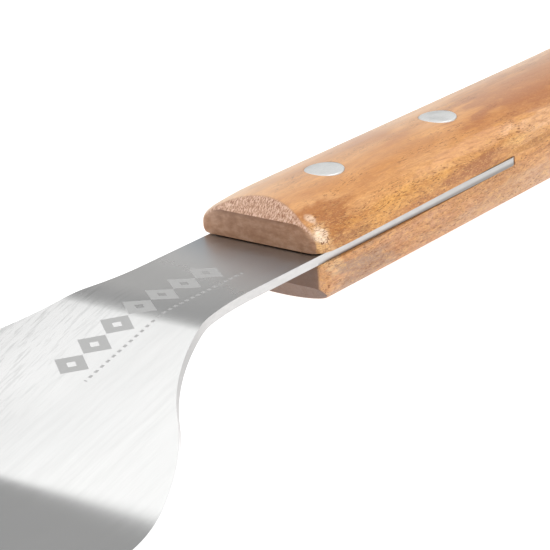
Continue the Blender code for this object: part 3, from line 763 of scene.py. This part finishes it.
def sheet_mesh():
    """The flat blank with its holes and rounded edges, then bent."""
    bm = bmesh.new()
    rows = []
    shares = [-c for c in reversed(SHEET_COLUMNS[1:])] + list(SHEET_COLUMNS)
    for s in sheet_stations():
        rows.append([bm.verts.new((s, share * half_width(s), 0.0)) for share in shares])
    for near, far in zip(rows, rows[1:]):
        for i in range(len(shares) - 1):
            bm.faces.new((near[i], far[i], far[i + 1], near[i + 1]))
    bmesh.ops.recalc_face_normals(bm, faces=bm.faces)
    made = bmesh.ops.extrude_face_region(bm, geom=bm.faces[:])
    for item in made["geom"]:
        if isinstance(item, bmesh.types.BMVert):
            item.co.z -= SHEET
    bmesh.ops.recalc_face_normals(bm, faces=bm.faces)
    flat = to_mesh(bm, "sheet")
    holes = [cylinder(SLEEVE_HOLE, THROUGH, Matrix.Translation((-x, 0, 0))) for x in RIVET_X]
    flat = carved(flat, holes)
    bm = bmesh.new()
    bm.from_mesh(flat)
    soften(bm, SHEET_EDGE, 60)
    grind_start = SHEET_LENGTH - FRONT_GRIND_LENGTH
    for vert in bm.verts:
        s, y, depth = vert.co.x, vert.co.y, -vert.co.z
        ground = max(s - grind_start, 0.0) / FRONT_GRIND_LENGTH
        thick = SHEET + (FRONT_EDGE_THICKNESS - SHEET) * ground
        vert.co = bent(s, y, SHEET - (SHEET - depth) * thick / SHEET)
    bmesh.ops.recalc_face_normals(bm, faces=bm.faces)
    return to_mesh(bm, "blade_neck_and_tang")


# ------------------------------------------------------------------ wooden handle


def eased(x, stations):
    if x <= stations[0][0]:
        return stations[0][1]
    for (x0, v0), (x1, v1) in zip(stations, stations[1:]):
        if x <= x1:
            t = (x - x0) / (x1 - x0)
            return v0 + (v1 - v0) * t * t * (3 - 2 * t)
    return stations[-1][1]


def handle_half_width(x):
    return eased(x, (
        (0.0, FRONT_HALF_WIDTH), (WAIST_X, WAIST_HALF_WIDTH), (PALM_X, PALM_HALF_WIDTH),
        (HANDLE_LENGTH, BUTT_HALF_WIDTH),
    ))


def handle_top(x):
    nose = NOSE_DROP * max(1 - x / NOSE_LENGTH, 0.0) ** 2
    return eased(x, ((0.0, HANDLE_TOP), (WAIST_X, WAIST_TOP), (PALM_X, PALM_TOP))) - nose


def handle_bottom(x):
    return eased(x, ((BELLY_X, HANDLE_BOTTOM), (PALM_X, PALM_BOTTOM)))


def smooth_min(a, b, blend):
    near = max(blend - abs(a - b), 0.0)
    return min(a, b) - near * near / (4 * blend)


def lip_loss(x, z):
    """How far the side is drawn in where it meets the slot, near the front end."""
    height = z - SLOT_OVER if z > -SHEET / 2 else -z - SHEET - SLOT_UNDER
    return corner_loss(LIP_RADIUS - height, LIP_RADIUS) * max(1 - x / LIP_LENGTH, 0.0)


def handle_section(x):
    wide, top, bottom = handle_half_width(x), handle_top(x), handle_bottom(x)
    middle = -SHEET / 2
    ring = []
    for i in range(SECTION_POINTS):
        turn = 2 * pi * i / SECTION_POINTS
        turn += CROWDING * sin(4 * turn)
        c, s = cos(turn), sin(turn)
        size = (abs(c) ** SHOULDER_POWER + abs(s) ** SHOULDER_POWER) ** (1 / SHOULDER_POWER)
        y, share = wide * c / size, abs(s) / size
        if s >= 0:
            z = middle + share * (top - TOP_CROWN * y * y - middle)
            z = smooth_min(z, FRONT_CHAMFER_TOP + x, CHAMFER_BLEND_TOP)
        else:
            z = middle - share * (bottom - BOTTOM_CROWN * y * y + middle)
            z = -smooth_min(-z, FRONT_CHAMFER_BOTTOM + x, CHAMFER_BLEND_BOTTOM)
        y -= (1 if y > 0 else -1) * lip_loss(x, z) * min(abs(y) / wide, 1.0)
        ring.append((y, z))
    return ring


def handle_stations():
    front = [FRONT_CORNER_RADIUS * (1 - cos(t)) for t in spread(0, pi / 2, 10)]
    back = [BUTT_START + BUTT_ROUNDING * sin(t) for t in spread(0, pi / 2, 18)]
    near = spread(front[-1], FRONT_DETAIL, 24)[1:]
    return front + near + spread(near[-1], BUTT_START, 80)[1:-1] + back


def handle_mesh():
    bm = bmesh.new()
    rings = []
    middle = PIVOT.z - TANG_TOP_Z
    for x in handle_stations():
        narrow = 1 - corner_loss(FRONT_CORNER_RADIUS - x, FRONT_CORNER_RADIUS) / FRONT_HALF_WIDTH
        closing = corner_loss(x - BUTT_START, BUTT_ROUNDING) / BUTT_ROUNDING * (1 - BUTT_END_SHARE)
        share = 1 - closing
        rings.append([
            bm.verts.new(at(x, HANDLE_Y + y * narrow * share, middle + (z - middle) * share))
            for y, z in handle_section(x)
        ])
    for near, far in zip(rings, rings[1:]):
        for i in range(SECTION_POINTS):
            j = (i + 1) % SECTION_POINTS
            bm.faces.new((near[i], near[j], far[j], far[i]))
    bm.faces.new(rings[0])
    bm.faces.new(rings[-1])
    bmesh.ops.recalc_face_normals(bm, faces=bm.faces)
    mesh = carved(to_mesh(bm, "handle"), handle_cutters())
    bm = bmesh.new()
    bm.from_mesh(mesh)
    bmesh.ops.remove_doubles(bm, verts=bm.verts, dist=WELD)
    slot_end = WOOD_FRONT_X + SLOT_LENGTH + MM
    soften(bm, SLOT_EDGE, 40, lambda edge: min(v.co.x for v in edge.verts) < slot_end)
    bmesh.ops.recalc_face_normals(bm, faces=bm.faces)
    return to_mesh(bm, "wooden_handle")


def handle_cutters():
    height = SLOT_OVER + SHEET + SLOT_UNDER
    found = [block((2 * SLOT_LENGTH, THROUGH, height), Matrix.Translation(at(0, 0, SLOT_OVER - height / 2)))]
    length, extra = SLOT_MOUTH
    tilt = Matrix.Rotation(atan2(extra, length), 4, "Y")
    hinge = Matrix.Translation(at(length, 0, SLOT_OVER))
    flare = hinge @ tilt @ Matrix.Translation((-length, 0, -SHEET / 2))
    found.append(block((2 * length, THROUGH, SHEET), flare))
    for x in RIVET_X:
        found.append(cylinder(SLEEVE_HOLE, THROUGH, Matrix.Translation(at(x, 0, 0))))
        seat_top = handle_top(x) - HEAD_SUNK - HEAD_HEIGHT - SEAT_GAP
        seat_bottom = -HEAD_BOTTOM + HEAD_HEIGHT + SEAT_GAP
        for middle in (seat_top + SEAT_CUT / 2, seat_bottom - SEAT_CUT / 2):
            found.append(cylinder(SEAT_RADIUS, SEAT_CUT, Matrix.Translation(at(x, 0, middle))))
    found.append(cylinder(EYELET_RADIUS + SEAT_GAP, THROUGH, CROSS_HOLE))
    middle = EYELET_HALF_LENGTH - EYELET_FLANGE - SEAT_GAP + FLANGE_CUT / 2
    for side in (1, -1):
        place = CROSS_HOLE @ Matrix.Translation((0, 0, side * middle))
        found.append(cylinder(EYELET_FLANGE_RADIUS + SEAT_GAP, FLANGE_CUT, place))
    return found


# ------------------------------------------------------------------ turned pieces


def turned(profile, place, segments=72, shape=None):
    """A solid of revolution about Z from a closed or axis-to-axis (radius, height) profile."""
    bm = bmesh.new()
    rings = []
    for radius, height in profile:
        if radius == 0:
            rings.append([bm.verts.new((0, 0, height))])
        else:
            turns = [2 * pi * i / segments for i in range(segments)]
            rings.append([bm.verts.new((radius * cos(t), radius * sin(t), height)) for t in turns])
    pairs = list(zip(rings, rings[1:]))
    if profile[0][0] > 0:
        pairs.append((rings[-1], rings[0]))
    for a, b in pairs:
        for i in range(segments):
            j = (i + 1) % segments
            quad = [a[i % len(a)], b[i % len(b)], b[j % len(b)], a[j % len(a)]]
            face = []
            for vert in quad:
                if vert not in face:
                    face.append(vert)
            bm.faces.new(face)
    if shape:
        for vert in bm.verts:
            vert.co.z += shape(vert.co)
    bmesh.ops.recalc_face_normals(bm, faces=bm.faces)
    bm.transform(place)
    return to_mesh(bm, "turned")


def arc(centre_r, centre_h, radius, start, end, steps=5):
    turns = [radians(a) for a in spread(start, end, steps)]
    return [(centre_r + radius * cos(t), centre_h + radius * sin(t)) for t in turns]


def rivet_meshes(x):
    """The stud and the sleeve of one rivet, their heads dressed nearly flat."""
    edge, top, bottom = HEAD_EDGE, handle_top(x) - HEAD_SUNK, -HEAD_BOTTOM
    inner = HEAD_RADIUS - edge
    stud = [(radius, top) for radius in HEAD_RINGS] + arc(inner, top - edge, edge, 90, 0) + [
        (HEAD_RADIUS, top - HEAD_HEIGHT),
        (STUD_RADIUS, top - HEAD_HEIGHT),
        (STUD_RADIUS, bottom + HEAD_HEIGHT + STUD_RIM),
        (0.0, bottom + HEAD_HEIGHT + STUD_TIP),
    ]
    sleeve = [(0.0, bottom + HEAD_HEIGHT), (SLEEVE_BORE, bottom + HEAD_HEIGHT)]
    mouth = top - HEAD_HEIGHT - SLEEVE_SHORT
    sleeve += [(SLEEVE_BORE, mouth), (SLEEVE_RADIUS, mouth), (SLEEVE_RADIUS, bottom + HEAD_HEIGHT)]
    sleeve += [(HEAD_RADIUS, bottom + HEAD_HEIGHT)] + arc(inner, bottom + edge, edge, 0, -90)
    sleeve += [(radius, bottom) for radius in reversed(HEAD_RINGS)]

    def crown(p):
        if p.z > top - 2 * edge:
            return -HEAD_CROWN * (p.y - HEAD_MIDDLE_Y) ** 2
        return HEAD_CROWN * (p.y - HEAD_MIDDLE_Y) ** 2 if p.z < bottom + 2 * edge else 0.0

    place = Matrix.Translation(at(x, 0, 0))
    return turned(stud, place, shape=crown), turned(sleeve, place, shape=crown)


def eyelet_mesh():
    half, flange, lip = EYELET_HALF_LENGTH, EYELET_FLANGE, EYELET_LIP
    upper = [(EYELET_BORE, 0.0)] + arc(EYELET_BORE + lip, half - lip, lip, 180, 90)
    upper += arc(EYELET_FLANGE_RADIUS - lip, half - lip, lip, 90, 0)
    upper += [(EYELET_FLANGE_RADIUS, half - flange), (EYELET_RADIUS, half - flange), (EYELET_RADIUS, 0.0)]
    lower = [(r, -h) for r, h in reversed(upper[1:-1])]
    return turned(upper + lower, CROSS_HOLE)


# ------------------------------------------------------------------ hanging loop


def corner(centre_x, centre_y, radius, start, steps):
    turns = [radians(start + 90 * i / steps) for i in range(steps + 1)]
    return [Vector((centre_x + radius * cos(t), centre_y + radius * sin(t), 0)) for t in turns]


def loop_mesh(sides=24):
    """A closed round wire: the pin through the eyelet, two legs and the closing bar."""
    wide, reach, pin, end = LOOP_HALF_WIDTH, LOOP_REACH, LOOP_PIN_CORNER, LOOP_END_CORNER
    route = corner(reach - end, wide - end, end, 0, 14) + corner(pin, wide - pin, pin, 90, 12)
    route += corner(pin, -wide + pin, pin, 180, 12) + corner(reach - end, -wide + end, end, 270, 14)
    bm = bmesh.new()
    rings = []
    for i, point in enumerate(route):
        ahead = (route[(i + 1) % len(route)] - point).normalized()
        behind = (point - route[i - 1]).normalized()
        along = (ahead + behind).normalized()
        out = along.cross(Vector((0, 0, 1))).normalized()
        turns = [2 * pi * k / sides for k in range(sides)]
        circle = [out * cos(t) + Vector((0, 0, sin(t))) for t in turns]
        rings.append([bm.verts.new(point + WIRE_RADIUS * offset) for offset in circle])
    for i, ring in enumerate(rings):
        after = rings[(i + 1) % len(rings)]
        for k in range(sides):
            m = (k + 1) % sides
            bm.faces.new((ring[k], ring[m], after[m], after[k]))
    bmesh.ops.recalc_face_normals(bm, faces=bm.faces)
    bm.transform(Matrix.Translation(PIVOT) @ Matrix.Rotation(LOOP_DROOP, 4, "Y"))
    return to_mesh(bm, "wire_loop")


# ------------------------------------------------------------------ surroundings


FLOOR_SIZE = 3.0
FLOOR_DROP = 0.05 * MM  # below the blade, so that the two don't share a plane
FLOOR_GREYS = ((0.29, 0.29, 0.29), (0.31, 0.31, 0.31))
LOW_SKY = 0.46  # what level metal mirrors from the low camera
HIGH_SKY = 1.6
SKY_EDGE = (0.60, 0.63)  # sines of the elevations between which one runs into the other
TOP_SKY = 0.75  # what level metal mirrors from straight above
TOP_EDGE = (0.82, 0.88)
SOFTBOX_SIZE = (1.0, 0.7)
SOFTBOX_POWER = 4.0
SOFTBOX_PLACE = (0.1, -0.9, 0.9)
OVERHEAD_SIZE = (1.4, 1.4)
OVERHEAD_POWER = 5.9
OVERHEAD_PLACE = (0, 0, 1.5)


def stage_floor():
    bm = bmesh.new()
    bmesh.ops.create_grid(bm, x_segments=2, y_segments=2, size=FLOOR_SIZE)
    bm.transform(Matrix.Translation((0, 0, -FLOOR_DROP)))
    floor = bpy.data.objects.new("floor", to_mesh(bm, "floor"))
    bpy.context.scene.collection.objects.link(floor)
    r = Recipe("floor_white")
    colour = r.mix(r.noise(r.place, (3, 3, 3), 2), *FLOOR_GREYS)
    floor.data.materials.append(r.finish(
        Base_Color=colour, Roughness=0.7, Emission_Color=(1, 1, 1, 1), Emission_Strength=1.0,
    ))


def sky_step(tree, height, edge, low, high):
    """A strength that runs from low to high as the height crosses the edge."""
    node = tree.nodes.new("ShaderNodeMapRange")
    node.interpolation_type = "SMOOTHSTEP"
    tree.links.new(height, node.inputs["Value"])
    for name, value in zip(("From Min", "From Max", "To Min", "To Max"), (*edge, low, high)):
        node.inputs[name].default_value = value
    return node.outputs[0]


def area_lamp(name, size, power, place):
    lamp = bpy.data.lights.new(name, "AREA")
    lamp.shape = "RECTANGLE"
    lamp.size, lamp.size_y = size
    lamp.energy = power
    holder = bpy.data.objects.new(name, lamp)
    bpy.context.scene.collection.objects.link(holder)
    holder.location = place
    return holder


def studio_light():
    """A sky in three tones, a softbox, and a lamp that gives back the light the dimmer top takes away."""
    world = bpy.data.worlds.new("studio")
    bpy.context.scene.world = world
    world.use_nodes = True
    tree = world.node_tree
    place = tree.nodes.new("ShaderNodeTexCoord")
    split = tree.nodes.new("ShaderNodeSeparateXYZ")
    tree.links.new(place.outputs["Generated"], split.inputs[0])
    height = split.outputs["Z"]
    sky = tree.nodes.new("ShaderNodeMath")
    sky.operation = "SUBTRACT"
    tree.links.new(sky_step(tree, height, SKY_EDGE, LOW_SKY, HIGH_SKY), sky.inputs[0])
    tree.links.new(sky_step(tree, height, TOP_EDGE, 0.0, HIGH_SKY - TOP_SKY), sky.inputs[1])
    background = tree.nodes["Background"]
    background.inputs["Color"].default_value = (1, 1, 1, 1)
    tree.links.new(sky.outputs[0], background.inputs["Strength"])
    softbox = area_lamp("softbox", SOFTBOX_SIZE, SOFTBOX_POWER, SOFTBOX_PLACE)
    softbox.rotation_euler = (-softbox.location).to_track_quat("-Z", "Y").to_euler()
    overhead = area_lamp("overhead", OVERHEAD_SIZE, OVERHEAD_POWER, OVERHEAD_PLACE)
    overhead.visible_camera = False
    overhead.visible_glossy = False
    bpy.context.scene.view_settings.view_transform = "Standard"


def camera():
    data = bpy.data.cameras.new("camera")
    data.sensor_width = 36.0
    data.lens = CAMERA_LENS
    data.clip_start = 0.01
    obj = bpy.data.objects.new("camera", data)
    bpy.context.scene.collection.objects.link(obj)
    back = CAMERA_RIGHT.cross(CAMERA_UP).normalized()
    up = back.cross(CAMERA_RIGHT).normalized()
    turn = Matrix((CAMERA_RIGHT.normalized(), up, back)).transposed()
    obj.matrix_world = Matrix.Translation(CAMERA_PLACE) @ turn.to_4x4()
    bpy.context.scene.camera = obj


def build():
    camera()
    studio_light()
    stage_floor()
    steel, wood = steel_sheet(), handle_wood()
    sheet = new_piece("stamped_sheet", sheet_mesh(), steel, "tool", "sheet_steel", "blade_and_tang")
    smooth(sheet, SHEET_SHARP)
    smooth(new_piece("handle", handle_mesh(), wood, "tool", "handle_wood", "wood_handle"))
    rivet = rivet_metal()
    for name, x in zip(("front", "rear"), RIVET_X):
        stud, sleeve = rivet_meshes(x)
        smooth(new_piece(f"{name}_rivet_head", stud, rivet, "tool", "rivet_metal", f"{name}_rivet_stud"))
        smooth(new_piece(f"{name}_rivet_back", sleeve, rivet, "tool", "rivet_metal", f"{name}_rivet_sleeve"))
    wire = wire_metal()
    smooth(new_piece("eyelet", eyelet_mesh(), wire, "tool", "wire_steel", "hang_hole_eyelet"))
    smooth(new_piece("wire_loop", loop_mesh(), wire, "loop", "wire_steel", "hanging_loop"))


build()
